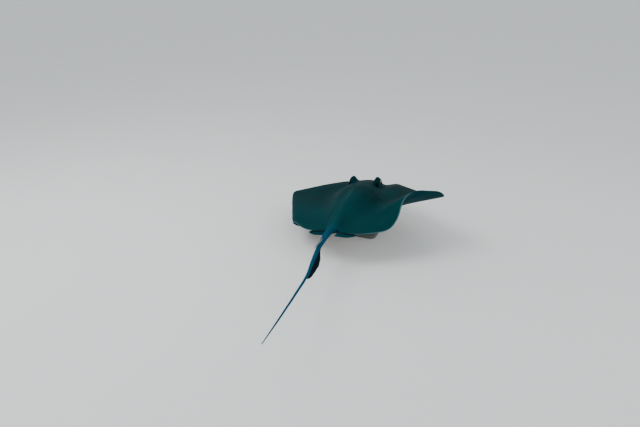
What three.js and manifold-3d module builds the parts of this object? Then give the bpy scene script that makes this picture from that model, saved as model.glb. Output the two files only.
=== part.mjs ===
// A southern stingray, an adult female, gliding just above the bottom: a still, life-size model
// on a plain display stand. Millimetres, +Z up. The animal faces -Y and its left side is +X; the
// origin is the middle of the stand's underside, on the floor.
//
// The disc is first laid out flat, in plan: x across it and s, the station behind the tip of the
// snout, both as fractions of the disc width. Then it is bent into its swimming pose, and given
// its thickness square to the bent sheet.
import * as THREE from 'three';
import { mergeVertices } from 'three/addons/utils/BufferGeometryUtils.js';
import Module from 'manifold-3d';

const wasm = await Module();
wasm.setup();

// ---- driving dimensions -----------------------------------------------------------------------
const DISC_WIDTH = 850; // wing tip to wing tip, spread flat
const MIDDLE = 0.42; // station of the body's own origin, by its centre of mass
const BODY_LIFT = 134; // middle plane of the disc above the floor
const BODY_SHIFT = 60; // the body's origin behind the middle of the stand
const ROLL = 5.5; // degrees, right side up
const NOSE_DOWN = 0.2; // degrees
const GAP = 0.3; // between two solids that touch

// Half the outline of the flat disc as cubic curves of [x, s]: snout to fore corner of the wing,
// round the wing tip, back along the trailing edge, and round the rear lobe.
const OUTLINE = [
  [[0, 0], [0.105, 0.005], [0.25, 0.185], [0.43, 0.325]],
  [[0.43, 0.325], [0.478, 0.362], [0.512, 0.405], [0.488, 0.462]],
  [[0.488, 0.462], [0.432, 0.545], [0.285, 0.655], [0.19, 0.73]],
  [[0.19, 0.73], [0.145, 0.758], [0.09, 0.772], [0.05, 0.738]],
];
const AXIS_START = 0.02; // station of the first and last mesh rows on the midline
const AXIS_END = 0.775;
const MARGIN_HALF = 0.7; // mm, half the thickness of the disc's thin edge

// The pose: bend of the wings, in degrees, over the share of the span from root to tip.
const ROOT = 0.11; // half-width of the stiff middle of the disc
const SHOULDER = { rise: 0.02, x: [0.09, 0.17], s: [0.15, 0.42] }; // fore edge carried high
const SNOUT = { droop: 0.03, x: [0.02, 0.13], s: [0, 0.14] }; // and the snout itself low
const BEND_ROOM = 0.15; // share of the span over which the bend at the root comes in
const RIGHT_RISE = [ // [station, degrees] that the right wing is raised
  [0.1, 3], [0.2, 5.5], [0.33, 9.5], [0.38, 12], [0.42, 16.5], [0.46, 22], [0.5, 27.5],
  [0.545, 35], [0.58, 36], [0.61, 30], [0.64, 15], [0.67, 1], [0.71, -4], [0.75, 0],
];
const LEFT_RISE = [[0.36, 3.5], [0.5, 5.5]]; // and the left one, out to where it curls down
const CURL_START = [[0.325, 0.386], [0.5, 0.3], [0.62, 0.245], [0.7, 0.21]]; // [station, x]
const CURL_WIDTH = 0.06; // of the plan, in which the curl bends down
const CURL_ANGLE = [ // [station, degrees] that it bends to
  [0.3, -100], [0.44, -130], [0.56, -118], [0.66, -104], [0.71, -85], [0.76, -10], [0.78, 0],
];
const BEND_STEPS = 24; // straight steps in which a wing is bent

// Heights along the midline, as [station, fraction of the disc width].
const BACK_HEIGHT = [
  [0, 0], [0.06, 0.014], [0.13, 0.032], [0.2, 0.046], [0.28, 0.058], [0.37, 0.07],
  [0.48, 0.066], [0.6, 0.05], [0.72, 0.031], [0.8, 0.015],
];
const BACK_HALF_WIDTH = [
  [0, 0.05], [0.1, 0.08], [0.2, 0.1], [0.32, 0.122], [0.45, 0.116], [0.58, 0.082],
  [0.7, 0.045], [0.8, 0.027],
];
const BACK_SQUARENESS = 3; // 2 is a bell, more is a flatter back with steeper sides
const BACK_FADE = 6; // how late towards the margin the back's height fades out
const WING_THICKNESS = 0.03; // above the middle sheet at the wing's root
const WING_CAMBER = 0.75; // 1 is a straight taper to the margin, less is a fuller wing
const SNOUT_THICKNESS = { start: 0.1, growth: 4 }; // share of the wing's, along the rows
const REAR_THINNING = { from: 0.72, share: 0.87 }; // of the wing towards the rear lobe
const BELLY_SHARE = 0.7; // of the wing's thickness below the middle sheet
const BELLY_BULGE = 0.12; // of the back's height

// The head's raised orbits and the spiracles behind them, in plan fractions.
const ORBIT = { x: 0.079, s: 0.203, halfWidth: 0.025, halfLength: 0.039, height: 0.044, dome: 3 };
const SPIRACLE = { x: 0.083, s: 0.25, halfWidth: 0.014, halfLength: 0.02, depth: 0.016 };
const EYE = { x: 0.097, s: 0.2, halfLength: 12, halfHeight: 10, halfDepth: 9, sunk: 5.5 };

// The tail's centre line behind the body's origin, and its half-width and half-height there.
const TAIL = [
  { at: [2, 230, 14], half: [25, 14] },
  { at: [5, 280, 12], half: [20, 13] },
  { at: [6, 325, 10], half: [14.5, 12] },
  { at: [-3, 438, 4], half: [9, 8.8] },
  { at: [-20, 540, 0], half: [6.8, 6.8] },
  { at: [-39, 632, -2], half: [5.2, 5.2] },
  { at: [-60, 780, 12], half: [4, 4] },
  { at: [-82, 935, 32], half: [3, 3] },
  { at: [-110, 1095, 65], half: [1.3, 1.3] },
];
const TAIL_CUTS = [330, 480, 750]; // where the tail is parted into lengths, along Y
const FOLD = { from: 425, to: 648, depth: 25, lean: 42, half: 0.9, ramp: [-0.05, 0.4], end: 0.5 };
const STING = {
  from: 376, to: 474, halfWidth: 4, halfHeight: 2, rise: 11, swing: 6, rootWidth: 0.45, taper: 1.7,
};

// The pelvic fins: outline in plan, as [x, s], and how far they hang below the disc.
const PELVIC = {
  root: [[0.02, 0.7], [0.02, 0.778]],
  outer: [[0.05, 0.7], [0.1, 0.726], [0.122, 0.762], [0.092, 0.786], [0.046, 0.786]],
  drop: 0.012, rootHalf: 3, edgeHalf: 0.8,
};

// Where the disc is parted: half-width of head and trunk by station, and the neck between them.
const PARTING = [
  [-0.05, 0.02], [0, 0.022], [0.06, 0.06], [0.14, 0.105], [0.24, 0.125], [0.36, 0.133],
  [0.5, 0.118], [0.62, 0.083], [0.74, 0.062], [0.9, 0.058],
];
const NECK = 0.31;
const PLAN_GAP = (0.625 * GAP) / DISC_WIDTH; // on each side of a parting line, which the pose leans

const STAND = { length: 200, width: 230, thickness: 12, corner: 30, rod: 8 };
const RODS = { front: -70, rear: 70 }; // along Y, from the middle of the stand

// ---- how fine the solids are ------------------------------------------------------------------
const ROWS = 34; // from snout to tail
const HEAD_ROWS = { extra: 0.9, middle: 0.32, halfWidth: 0.13 }; // closer together at the head
const COLUMNS = 15; // from midline to margin
const TAIL_MESH = { rings: 30, crowding: 0.95, sides: 12 };
const FOLD_RINGS = 14;
const STING_RINGS = 12;
const BLADE_SIDES = 8;
const PELVIC_MESH = { rows: 10, columns: 5 };
const EYE_MESH = { round: 14, down: 9 };
const ROD_SIDES = 24;
const CORNER_STEPS = 8;
const SEARCH_STEPS = 30; // halvings, when a place is looked for

// ---- small functions --------------------------------------------------------------------------
const { clamp, lerp, degToRad, smoothstep } = THREE.MathUtils;
const bell = (x, middle, halfWidth) => Math.exp(-(((x - middle) / halfWidth) ** 2));

// Height at x of a smooth curve through knots [x, y].
function along(knots, x) {
  const last = knots.length - 1;
  if (x <= knots[0][0]) return knots[0][1];
  if (x >= knots[last][0]) return knots[last][1];
  const i = knots.findIndex((knot) => knot[0] > x) - 1;
  const slope = (a, b) => (knots[b][1] - knots[a][1]) / (knots[b][0] - knots[a][0]);
  const step = knots[i + 1][0] - knots[i][0];
  const startSlope = slope(Math.max(i - 1, 0), i + 1) * step;
  const endSlope = slope(i, Math.min(i + 2, last)) * step;
  const u = (x - knots[i][0]) / step;
  return (2 * u ** 3 - 3 * u ** 2 + 1) * knots[i][1] + (u ** 3 - 2 * u ** 2 + u) * startSlope
    + (3 * u ** 2 - 2 * u ** 3) * knots[i + 1][1] + (u ** 3 - u ** 2) * endSlope;
}

// Height at x of straight lines through knots [x, y], carried on past both ends.
function straight(knots, x) {
  const i = clamp(knots.findIndex((knot) => knot[0] > x), 1, knots.length - 1);
  const [[x0, y0], [x1, y1]] = [knots[i - 1], knots[i]];
  return lerp(y0, y1, (x - x0) / (x1 - x0));
}

// ---- the disc: plan, pose and thickness -------------------------------------------------------
const margin = new THREE.CurvePath();
for (const points of OUTLINE) {
  margin.add(new THREE.CubicBezierCurve(...points.map(([x, s]) => new THREE.Vector2(x, s))));
}

// A point of the flat disc: row t runs from snout (0) to tail (1), q from midline (0) to edge (1).
function planPoint(t, q) {
  const edge = margin.getPoint(t);
  const axis = lerp(AXIS_START, AXIS_END, t);
  return { x: edge.x * q, s: lerp(axis, edge.y, q) };
}

function rightBend(d, s) {
  return along(RIGHT_RISE, s) * smoothstep(d, 0, BEND_ROOM);
}

function leftBend(d, s) {
  const rise = along(LEFT_RISE, s) * smoothstep(d, 0, BEND_ROOM);
  const start = straight(CURL_START, s);
  const curl = smoothstep(lerp(ROOT, 0.5, d), start, start + CURL_WIDTH);
  return rise + (along(CURL_ANGLE, s) - rise) * curl;
}

// The bent middle sheet at plan x, s, in mm from the body's origin. side is 1 left, -1 right.
function sheet(x, s, side) {
  const bend = side > 0 ? leftBend : rightBend;
  const step = Math.max(x - ROOT, 0) / BEND_STEPS;
  let across = Math.min(x, ROOT);
  let up = SHOULDER.rise * smoothstep(x, ...SHOULDER.x) * (1 - smoothstep(s, ...SHOULDER.s))
    - SNOUT.droop * (1 - smoothstep(x, ...SNOUT.x)) * (1 - smoothstep(s, ...SNOUT.s));
  for (let k = 0; k < BEND_STEPS; k += 1) {
    const angle = degToRad(bend((step * (k + 0.5)) / (0.5 - ROOT), s));
    across += Math.cos(angle) * step;
    up += Math.sin(angle) * step;
  }
  return new THREE.Vector3(side * across, s - MIDDLE, up).multiplyScalar(DISC_WIDTH);
}

function sheetNormal(x, s, side) {
  const step = 0.001;
  const here = sheet(x, s, side);
  const across = sheet(x + step, s, side).sub(here);
  const back = sheet(x, s + step, side).sub(here);
  return across.cross(back).normalize().multiplyScalar(side);
}

// How far the skin stands off the middle sheet, in mm: on the back, then on the belly.
function skinOffset(t, q, x, s, onBack) {
  const ends = Math.min(1, SNOUT_THICKNESS.growth * t + SNOUT_THICKNESS.start)
    * (1 - REAR_THINNING.share * smoothstep(t, REAR_THINNING.from, 1));
  const wing = WING_THICKNESS * (1 - q) ** WING_CAMBER * ends;
  const ridge = along(BACK_HEIGHT, s) * (1 - q ** BACK_FADE)
    * Math.exp(-((x / along(BACK_HALF_WIDTH, s)) ** BACK_SQUARENESS));
  if (!onBack) return DISC_WIDTH * (BELLY_SHARE * wing + BELLY_BULGE * ridge) + MARGIN_HALF;
  const orbitPlace = Math.hypot((x - ORBIT.x) / ORBIT.halfWidth, (s - ORBIT.s) / ORBIT.halfLength);
  const orbit = ORBIT.height * Math.exp(-(orbitPlace ** ORBIT.dome));
  const spiracle = SPIRACLE.depth * bell(x, SPIRACLE.x, SPIRACLE.halfWidth)
    * bell(s, SPIRACLE.s, SPIRACLE.halfLength);
  return DISC_WIDTH * (wing + ridge + orbit - spiracle) + MARGIN_HALF;
}

function skinPoint(t, q, side, onBack, clearance = 0) {
  const { x, s } = planPoint(t, q);
  const offset = skinOffset(t, q, x, s, onBack) + clearance;
  const point = sheet(x, s, side);
  return point.addScaledVector(sheetNormal(x, s, side), onBack ? offset : -offset);
}

// The pose of the whole animal on its stand.
const pose = new THREE.Matrix4()
  .makeTranslation(0, BODY_SHIFT, BODY_LIFT)
  .multiply(new THREE.Matrix4().makeRotationX(degToRad(NOSE_DOWN)))
  .multiply(new THREE.Matrix4().makeRotationY(degToRad(ROLL)));

// ---- solids -----------------------------------------------------------------------------------
// A closed solid from grids of points; each grid is [rows][columns], facing out where
// (row step) x (column step) points out.
function solidFromGrids(grids, matrix) {
  const corners = [];
  const apart = (a, b) => Math.hypot(a[0] - b[0], a[1] - b[1], a[2] - b[2]);
  const quad = (a, b, c, d) => {
    if (apart(a, c) < apart(b, d)) corners.push(...a, ...b, ...c, ...a, ...c, ...d);
    else corners.push(...a, ...b, ...d, ...b, ...c, ...d);
  };
  for (const grid of grids) {
    for (let i = 0; i + 1 < grid.length; i += 1) {
      for (let j = 0; j + 1 < grid[i].length; j += 1) {
        quad(grid[i][j], grid[i + 1][j], grid[i + 1][j + 1], grid[i][j + 1]);
      }
    }
  }
  const geometry = new THREE.BufferGeometry();
  geometry.setAttribute('position', new THREE.Float32BufferAttribute(corners, 3));
  if (matrix) geometry.applyMatrix4(matrix);
  return solidFromGeometry(geometry);
}

function solidFromGeometry(source) {
  const bare = source.clone();
  bare.deleteAttribute('normal');
  bare.deleteAttribute('uv');
  const merged = mergeVertices(bare, 0.002);
  const index = merged.index.array;
  const faces = [];
  for (let i = 0; i < index.length; i += 3) {
    const [a, b, c] = index.slice(i, i + 3);
    if (a !== b && b !== c && c !== a) faces.push(a, b, c);
  }
  return new wasm.Manifold(new wasm.Mesh({
    numProp: 3,
    vertProperties: merged.attributes.position.array,
    triVerts: new Uint32Array(faces),
  }));
}

function meshFromSolid(name, solid, look) {
  const { vertProperties, triVerts } = solid.getMesh();
  const indexed = new THREE.BufferGeometry();
  indexed.setAttribute('position', new THREE.Float32BufferAttribute(vertProperties, 3));
  indexed.setIndex([...triVerts]);
  indexed.computeVertexNormals();
  const mesh = new THREE.Mesh(indexed, new THREE.MeshStandardMaterial(look));
  mesh.name = name;
  return mesh;
}

const range = (count) => Array.from({ length: count + 1 }, (_, i) => i / count);
const turned = (grid) => grid.map((row) => [...row].reverse());

// Places of the mesh rows, closer together at the head, where the shape changes fastest.
function rowPlaces() {
  const places = [0];
  for (let i = 0; i < ROWS; i += 1) {
    const here = (i + 0.5) / ROWS;
    const crowding = HEAD_ROWS.extra * bell(here, HEAD_ROWS.middle, HEAD_ROWS.halfWidth);
    places.push(places[i] + 1 / (1 + crowding));
  }
  return places.map((place) => place / places[ROWS]);
}

function discSolid(clearance = 0) {
  const rows = rowPlaces();
  const columns = range(COLUMNS);
  const grids = [];
  for (const side of [1, -1]) {
    const skin = (onBack) => rows.map((t) => columns.map(
      (q) => skinPoint(t, q, side, onBack, clearance).toArray(),
    ));
    const back = skin(true);
    const belly = skin(false);
    const rim = back.map((row, i) => [row[COLUMNS], belly[i][COLUMNS]]);
    const tailWall = [belly[ROWS], back[ROWS]];
    const outward = [turned(back), belly, turned(rim), tailWall];
    for (const grid of outward) grids.push(side > 0 ? grid : turned(grid));
  }
  return solidFromGrids(grids, pose);
}

// A tube through oval rings, each with its centre, its own axes and its half-sizes.
function tubeSolid(rings, sides) {
  const wall = rings.map(({ centre, lateral, up, half }) => range(sides).map((turn) => {
    const angle = 2 * Math.PI * (turn % 1);
    return centre.clone().addScaledVector(lateral, Math.cos(angle) * half[0])
      .addScaledVector(up, Math.sin(angle) * half[1]).toArray();
  }));
  const cap = (k) => wall[k].map(() => rings[k].centre.toArray());
  const last = rings.length - 1;
  return solidFromGrids([[cap(0), wall[0]], wall, [wall[last], cap(last)]]);
}

const tailLine = new THREE.CatmullRomCurve3(TAIL.map(({ at }) => new THREE.Vector3(
  at[0], at[1] + BODY_SHIFT, at[2] + BODY_LIFT,
)));

// The tail at a place y behind the body's origin: its centre, its own axes and its half-sizes.
function tailAt(y) {
  const wanted = y + BODY_SHIFT;
  let low = 0;
  let high = 1;
  for (let k = 0; k < SEARCH_STEPS; k += 1) {
    const middle = (low + high) / 2;
    if (tailLine.getPoint(middle).y < wanted) low = middle;
    else high = middle;
  }
  const centre = tailLine.getPoint(low);
  const forward = tailLine.getTangent(low);
  const lateral = new THREE.Vector3().crossVectors(forward, new THREE.Vector3(0, 0, 1)).normalize();
  const up = new THREE.Vector3().crossVectors(lateral, forward).normalize();
  const sizes = [0, 1].map((i) => along(TAIL.map(({ at, half }) => [at[1], half[i]]), y));
  return { centre, lateral, up, half: sizes };
}

function tailSolid(clearance = 0) {
  const start = TAIL[0].at[1];
  const end = TAIL[TAIL.length - 1].at[1];
  const rings = range(TAIL_MESH.rings).map((k) => {
    const ring = tailAt(lerp(start, end, k ** TAIL_MESH.crowding));
    return { ...ring, half: ring.half.map((size) => size + clearance) };
  });
  return tubeSolid(rings, TAIL_MESH.sides);
}

// The skin fold under the tail, a thin keel that leans to the right and ends bluntly behind.
function foldSolid() {
  const rings = range(FOLD_RINGS).map((k) => {
    const { centre, lateral, up, half } = tailAt(lerp(FOLD.from, FOLD.to, k));
    const end = Math.sqrt(clamp((1 - k) / FOLD.end, 0.02, 1));
    const depth = FOLD.depth * smoothstep(k, ...FOLD.ramp) * end + half[1];
    const axis = centre.clone().sub(tailAt(lerp(FOLD.from, FOLD.to, k) - 1).centre).normalize();
    const lean = degToRad(FOLD.lean);
    const away = up.clone().applyAxisAngle(axis, lean);
    return {
      centre: centre.addScaledVector(away, -depth / 2),
      lateral: lateral.applyAxisAngle(axis, lean),
      up: away,
      half: [FOLD.half, depth / 2],
    };
  });
  return tubeSolid(rings, BLADE_SIDES);
}

// The sting, a flat tapering blade of dentine that lies along the top of the tail.
function stingSolid() {
  const rings = range(STING_RINGS).map((k) => {
    const ring = tailAt(lerp(STING.from, STING.to, k));
    const taper = Math.min(1, STING.rootWidth + 3 * k)
      * Math.sqrt(Math.max(1 - k ** STING.taper, 0.012));
    const height = ring.half[1] + lerp(-STING.halfHeight, STING.rise, k);
    return {
      ...ring,
      centre: ring.centre.addScaledVector(ring.up, height)
        .addScaledVector(ring.lateral, STING.swing * k),
      half: [STING.halfWidth * taper, STING.halfHeight * taper],
    };
  });
  return tubeSolid(rings, BLADE_SIDES);
}

// A pelvic fin, a small flap under the rear lobe of the disc.
function pelvicSolid(side) {
  const rootLine = new THREE.LineCurve(...PELVIC.root.map(([x, s]) => new THREE.Vector2(x, s)));
  const edgeLine = new THREE.SplineCurve(PELVIC.outer.map(([x, s]) => new THREE.Vector2(x, s)));
  const { rows, columns } = PELVIC_MESH;
  const face = (direction) => range(rows).map((t) => range(columns).map((q) => {
    const plan = rootLine.getPoint(t).lerp(edgeLine.getPoint(t), q);
    const point = sheet(plan.x, plan.y, side);
    point.z += direction * lerp(PELVIC.rootHalf, PELVIC.edgeHalf, q) - DISC_WIDTH * PELVIC.drop;
    return point.toArray();
  }));
  const top = face(1);
  const bottom = face(-1);
  const edge = top.map((row, i) => [row[columns], bottom[i][columns]]);
  const root = top.map((row, i) => [bottom[i][0], row[0]]);
  const front = [top[0], bottom[0]];
  const rear = [bottom[rows], top[rows]];
  const outward = [turned(top), bottom, turned(edge), turned(root), front, rear];
  return solidFromGrids(side > 0 ? outward : outward.map(turned), pose);
}

// An eyeball, set into the outer side of its orbit and looking outward.
function eyeSolid(side, clearance = 0) {
  let low = 0;
  let high = 1;
  const columnAt = (t) => EYE.x / margin.getPoint(t).x;
  for (let k = 0; k < SEARCH_STEPS; k += 1) {
    const t = (low + high) / 2;
    if (planPoint(t, Math.min(columnAt(t), 1)).s < EYE.s) low = t;
    else high = t;
  }
  const q = columnAt(low);
  const outer = skinPoint(low, q, side, true);
  const step = 0.01;
  const across = skinPoint(low, q + step, side, true).sub(outer);
  const back = skinPoint(low + step, q, side, true).sub(outer);
  const out = across.cross(back).normalize().multiplyScalar(side);
  const centre = outer.addScaledVector(out, -EYE.sunk);
  const behind = new THREE.Vector3(0, 1, 0).addScaledVector(out, -out.y).normalize();
  const above = new THREE.Vector3().crossVectors(out, behind).normalize();
  const ball = new THREE.SphereGeometry(1, EYE_MESH.round, EYE_MESH.down);
  ball.scale(EYE.halfDepth + clearance, EYE.halfLength + clearance, EYE.halfHeight + clearance);
  ball.applyMatrix4(new THREE.Matrix4().makeBasis(out, behind, above).setPosition(centre));
  ball.applyMatrix4(pose);
  return solidFromGeometry(ball);
}

// A tall prism over a patch of the plan, posed with the body, that picks one part of it.
function patchSolid(points) {
  const shape = new THREE.Shape(points.map(([x, s]) => new THREE.Vector2(
    x * DISC_WIDTH, (s - MIDDLE) * DISC_WIDTH,
  )));
  const prism = new THREE.ExtrudeGeometry(shape, { depth: DISC_WIDTH, bevelEnabled: false });
  prism.translate(0, 0, -DISC_WIDTH / 2);
  prism.applyMatrix4(pose);
  return solidFromGeometry(prism);
}

// A patch between two stations, no wider than the parting lines of head and trunk.
function middlePatch(from, to) {
  const [first, last] = [from + PLAN_GAP, to - PLAN_GAP];
  const between = PARTING.map((knot) => knot[0]).filter((s) => s > first && s < last);
  const stations = [first, ...between, last];
  const edge = (s) => straight(PARTING, s) - PLAN_GAP;
  return patchSolid([
    ...stations.map((s) => [edge(s), s]),
    ...stations.map((s) => [-edge(s), s]).reverse(),
  ]);
}

// All that lies outside the parting line on one side.
function wingPatch(side) {
  const inner = PARTING.map(([s, x]) => [side * (x + PLAN_GAP), s]);
  const [first, last] = [PARTING[0][0], PARTING[PARTING.length - 1][0]];
  return patchSolid([...inner, [side, last], [side, first]]);
}

// A wide slab of space between two places along Y, across the tail.
function tailSlab(from, to) {
  const slab = new THREE.BoxGeometry(DISC_WIDTH, to - from, DISC_WIDTH);
  slab.translate(0, (from + to) / 2 + BODY_SHIFT, BODY_LIFT);
  return solidFromGeometry(slab);
}

// A rod of the stand, up into the body; what lies inside the body is taken off it later.
function rodSolid(y) {
  const rod = new THREE.CylinderGeometry(STAND.rod, STAND.rod, BODY_LIFT, ROD_SIDES);
  rod.rotateX(Math.PI / 2);
  rod.translate(0, y, STAND.thickness + GAP + BODY_LIFT / 2);
  return solidFromGeometry(rod);
}

function standBase() {
  const { width, length, corner, thickness } = STAND;
  const plate = new THREE.Shape();
  const [x, y] = [width / 2 - corner, length / 2 - corner];
  plate.absarc(x, y, corner, 0, Math.PI / 2);
  plate.absarc(-x, y, corner, Math.PI / 2, Math.PI);
  plate.absarc(-x, -y, corner, Math.PI, 1.5 * Math.PI);
  plate.absarc(x, -y, corner, 1.5 * Math.PI, 2 * Math.PI);
  const slab = new THREE.ExtrudeGeometry(plate, {
    depth: thickness, bevelEnabled: false, curveSegments: CORNER_STEPS,
  });
  return solidFromGeometry(slab);
}

// ---- the animal, parted -----------------------------------------------------------------------
const BACK_SKIN = { color: 0x565f50, roughness: 0.55, metalness: 0 };
const FIN_SKIN = { color: 0x4e5849, roughness: 0.55, metalness: 0 };
const TAIL_SKIN = { color: 0x46504a, roughness: 0.5, metalness: 0 };
const FOLD_SKIN = { color: 0x1f2322, roughness: 0.5, metalness: 0 };
const DENTINE = { color: 0xcdc3a8, roughness: 0.45, metalness: 0 };
const CORNEA = { color: 0x14130f, roughness: 0.08, metalness: 0 };
const STAND_PAINT = { color: 0x3b3d3f, roughness: 0.5, metalness: 0 };

const group = new THREE.Group();
const addPart = (name, solid, look) => group.add(meshFromSolid(name, solid, look));

const tail = tailSolid();
const body = discSolid().add(tail);
const bodyRoom = discSolid(GAP).add(tailSolid(GAP));
const tailRoom = tailSolid(GAP);
const [afterTrunk, afterBase, afterMiddle] = TAIL_CUTS;
const tip = TAIL[TAIL.length - 1].at[1] + GAP;
const half = GAP / 2;
const headPatch = middlePatch(PARTING[0][0], NECK);
const trunkPatch = middlePatch(NECK, afterTrunk / DISC_WIDTH + MIDDLE);
const eyeRoom = eyeSolid(1, GAP).add(eyeSolid(-1, GAP));

addPart('head', body.intersect(headPatch).subtract(eyeRoom), BACK_SKIN);
addPart('trunk', body.intersect(trunkPatch), BACK_SKIN);
addPart('tail_base', tail.intersect(tailSlab(afterTrunk + half, afterBase - half)), TAIL_SKIN);
addPart('tail_middle', tail.intersect(tailSlab(afterBase + half, afterMiddle - half)), TAIL_SKIN);
addPart('tail_whip', tail.intersect(tailSlab(afterMiddle + half, tip)), TAIL_SKIN);
addPart('tail_fold', foldSolid().subtract(tailRoom), FOLD_SKIN);
addPart('sting', stingSolid().subtract(tailRoom), DENTINE);
for (const [side, word] of [[1, 'left'], [-1, 'right']]) {
  addPart(`pectoral_fin_${word}`, discSolid().intersect(wingPatch(side)), FIN_SKIN);
  addPart(`pelvic_fin_${word}`, pelvicSolid(side).subtract(bodyRoom), FIN_SKIN);
  addPart(`eye_${word}`, eyeSolid(side), CORNEA);
}
for (const [word, y] of Object.entries(RODS)) {
  addPart(`stand_rod_${word}`, rodSolid(y).subtract(bodyRoom), STAND_PAINT);
}
addPart('stand_base', standBase(), STAND_PAINT);

export default group;
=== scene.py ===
"""Looks for a life-size southern stingray on its display stand, and the stage round it.

Metres, +Z up. The animal faces -Y and its left side is +X. The disc is first laid out flat, in
plan: x across it and s, the station behind the tip of the snout, both as shares of the disc
width. Then it is bent into its swimming pose and given its thickness square to the bent sheet.
"""

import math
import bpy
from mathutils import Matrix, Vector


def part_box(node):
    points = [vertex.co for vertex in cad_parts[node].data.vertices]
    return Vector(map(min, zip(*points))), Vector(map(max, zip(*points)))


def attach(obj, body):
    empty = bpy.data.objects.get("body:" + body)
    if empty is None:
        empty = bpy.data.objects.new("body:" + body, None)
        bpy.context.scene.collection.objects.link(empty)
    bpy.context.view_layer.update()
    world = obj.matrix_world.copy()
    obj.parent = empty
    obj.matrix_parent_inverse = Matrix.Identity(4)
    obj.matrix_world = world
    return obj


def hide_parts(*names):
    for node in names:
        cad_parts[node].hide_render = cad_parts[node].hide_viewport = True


bl_info = {
    "name": "Stingray",
    "version": (1, 0, 0),
    "blender": (4, 5, 0),
    "location": "3D View > Sidebar > Stingray",
    "description": "Builds the looks of a still stingray model, piece by piece",
    "category": "Object",
}

import bmesh
import bpy
import numpy as np
from mathutils import Matrix, Vector
from mathutils.kdtree import KDTree

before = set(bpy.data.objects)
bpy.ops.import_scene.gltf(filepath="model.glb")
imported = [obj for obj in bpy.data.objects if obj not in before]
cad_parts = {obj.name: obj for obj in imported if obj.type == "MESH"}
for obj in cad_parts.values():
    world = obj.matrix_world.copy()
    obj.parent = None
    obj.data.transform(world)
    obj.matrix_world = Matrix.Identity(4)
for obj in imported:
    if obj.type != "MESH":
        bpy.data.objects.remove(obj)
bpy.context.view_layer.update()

# ---- sizes that the solids share ---------------------------------------------------------------
DISC_WIDTH = 0.85
MIDDLE = 0.42  # station of the body's own origin
BODY_LIFT = 0.134
BODY_SHIFT = 0.06
ROLL = math.radians(5.5)
NOSE_DOWN = math.radians(0.2)
OUTLINE = (
    ((0, 0), (0.105, 0.005), (0.25, 0.185), (0.43, 0.325)),
    ((0.43, 0.325), (0.478, 0.362), (0.512, 0.405), (0.488, 0.462)),
    ((0.488, 0.462), (0.432, 0.545), (0.285, 0.655), (0.19, 0.73)),
    ((0.19, 0.73), (0.145, 0.758), (0.09, 0.772), (0.05, 0.738)),
)
AXIS_START, AXIS_END = 0.02, 0.775
MARGIN_HALF = 0.0007
ROOT = 0.11
SHOULDER = {"rise": 0.02, "x": (0.09, 0.17), "s": (0.15, 0.42)}
SNOUT = {"droop": 0.03, "x": (0.02, 0.13), "s": (0, 0.14)}
BEND_ROOM = 0.15
RIGHT_RISE = (
    (0.1, 3), (0.2, 5.5), (0.33, 9.5), (0.38, 12), (0.42, 16.5), (0.46, 22), (0.5, 27.5),
    (0.545, 35), (0.58, 36), (0.61, 30), (0.64, 15), (0.67, 1), (0.71, -4), (0.75, 0),
)
LEFT_RISE = ((0.36, 3.5), (0.5, 5.5))
CURL_START = ((0.325, 0.386), (0.5, 0.3), (0.62, 0.245), (0.7, 0.21))
CURL_WIDTH = 0.06
CURL_ANGLE = (
    (0.3, -100), (0.44, -130), (0.56, -118), (0.66, -104), (0.71, -85), (0.76, -10), (0.78, 0),
)
BEND_STEPS = 24
BACK_HEIGHT = (
    (0, 0), (0.06, 0.014), (0.13, 0.032), (0.2, 0.046), (0.28, 0.058), (0.37, 0.07),
    (0.48, 0.066), (0.6, 0.05), (0.72, 0.031), (0.8, 0.015),
)
BACK_HALF_WIDTH = (
    (0, 0.05), (0.1, 0.08), (0.2, 0.1), (0.32, 0.122), (0.45, 0.116), (0.58, 0.082),
    (0.7, 0.045), (0.8, 0.027),
)
BACK_SQUARENESS = 3
WING_THICKNESS = 0.03
BELLY_SHARE = 0.7
BELLY_BULGE = 0.12
ORBIT = {"x": 0.079, "s": 0.203, "half_width": 0.025, "half_length": 0.039, "height": 0.044}
ORBIT_DOME = 3
SPIRACLE = {"x": 0.083, "s": 0.252, "half_width": 0.0145, "half_length": 0.019, "depth": 0.021}
EYE = {"x": 0.097, "s": 0.2, "half": (0.009, 0.012, 0.01), "sunk": 0.0055}
TAIL = (  # place from the body's origin, half-width and half-height
    (0.002, 0.230, 0.014, 0.025, 0.014),
    (0.005, 0.280, 0.012, 0.020, 0.013),
    (0.006, 0.325, 0.010, 0.0145, 0.012),
    (-0.003, 0.438, 0.004, 0.009, 0.0088),
    (-0.020, 0.540, 0, 0.0068, 0.0068),
    (-0.039, 0.632, -0.002, 0.0052, 0.0052),
    (-0.060, 0.780, 0.012, 0.004, 0.004),
    (-0.082, 0.935, 0.032, 0.003, 0.003),
    (-0.110, 1.095, 0.065, 0.0013, 0.0013),
)
FOLD = {
    "from": 0.425, "to": 0.648, "depth": 0.025, "lean": math.radians(42), "half": 0.0009,
    "ramp": (-0.05, 0.4), "end": 0.5,
}
STING = {
    "from": 0.376, "to": 0.474, "half_width": 0.004, "half_height": 0.002, "rise": 0.011,
    "swing": 0.006,
}
PELVIC_ROOT = ((0.02, 0.7), (0.02, 0.778))
PELVIC_EDGE = ((0.05, 0.7), (0.1, 0.726), (0.122, 0.762), (0.092, 0.786), (0.046, 0.786))
PELVIC_DROP = 0.0078
PELVIC_HALF = (0.003, 0.0008)  # at the root and at the edge

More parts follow.
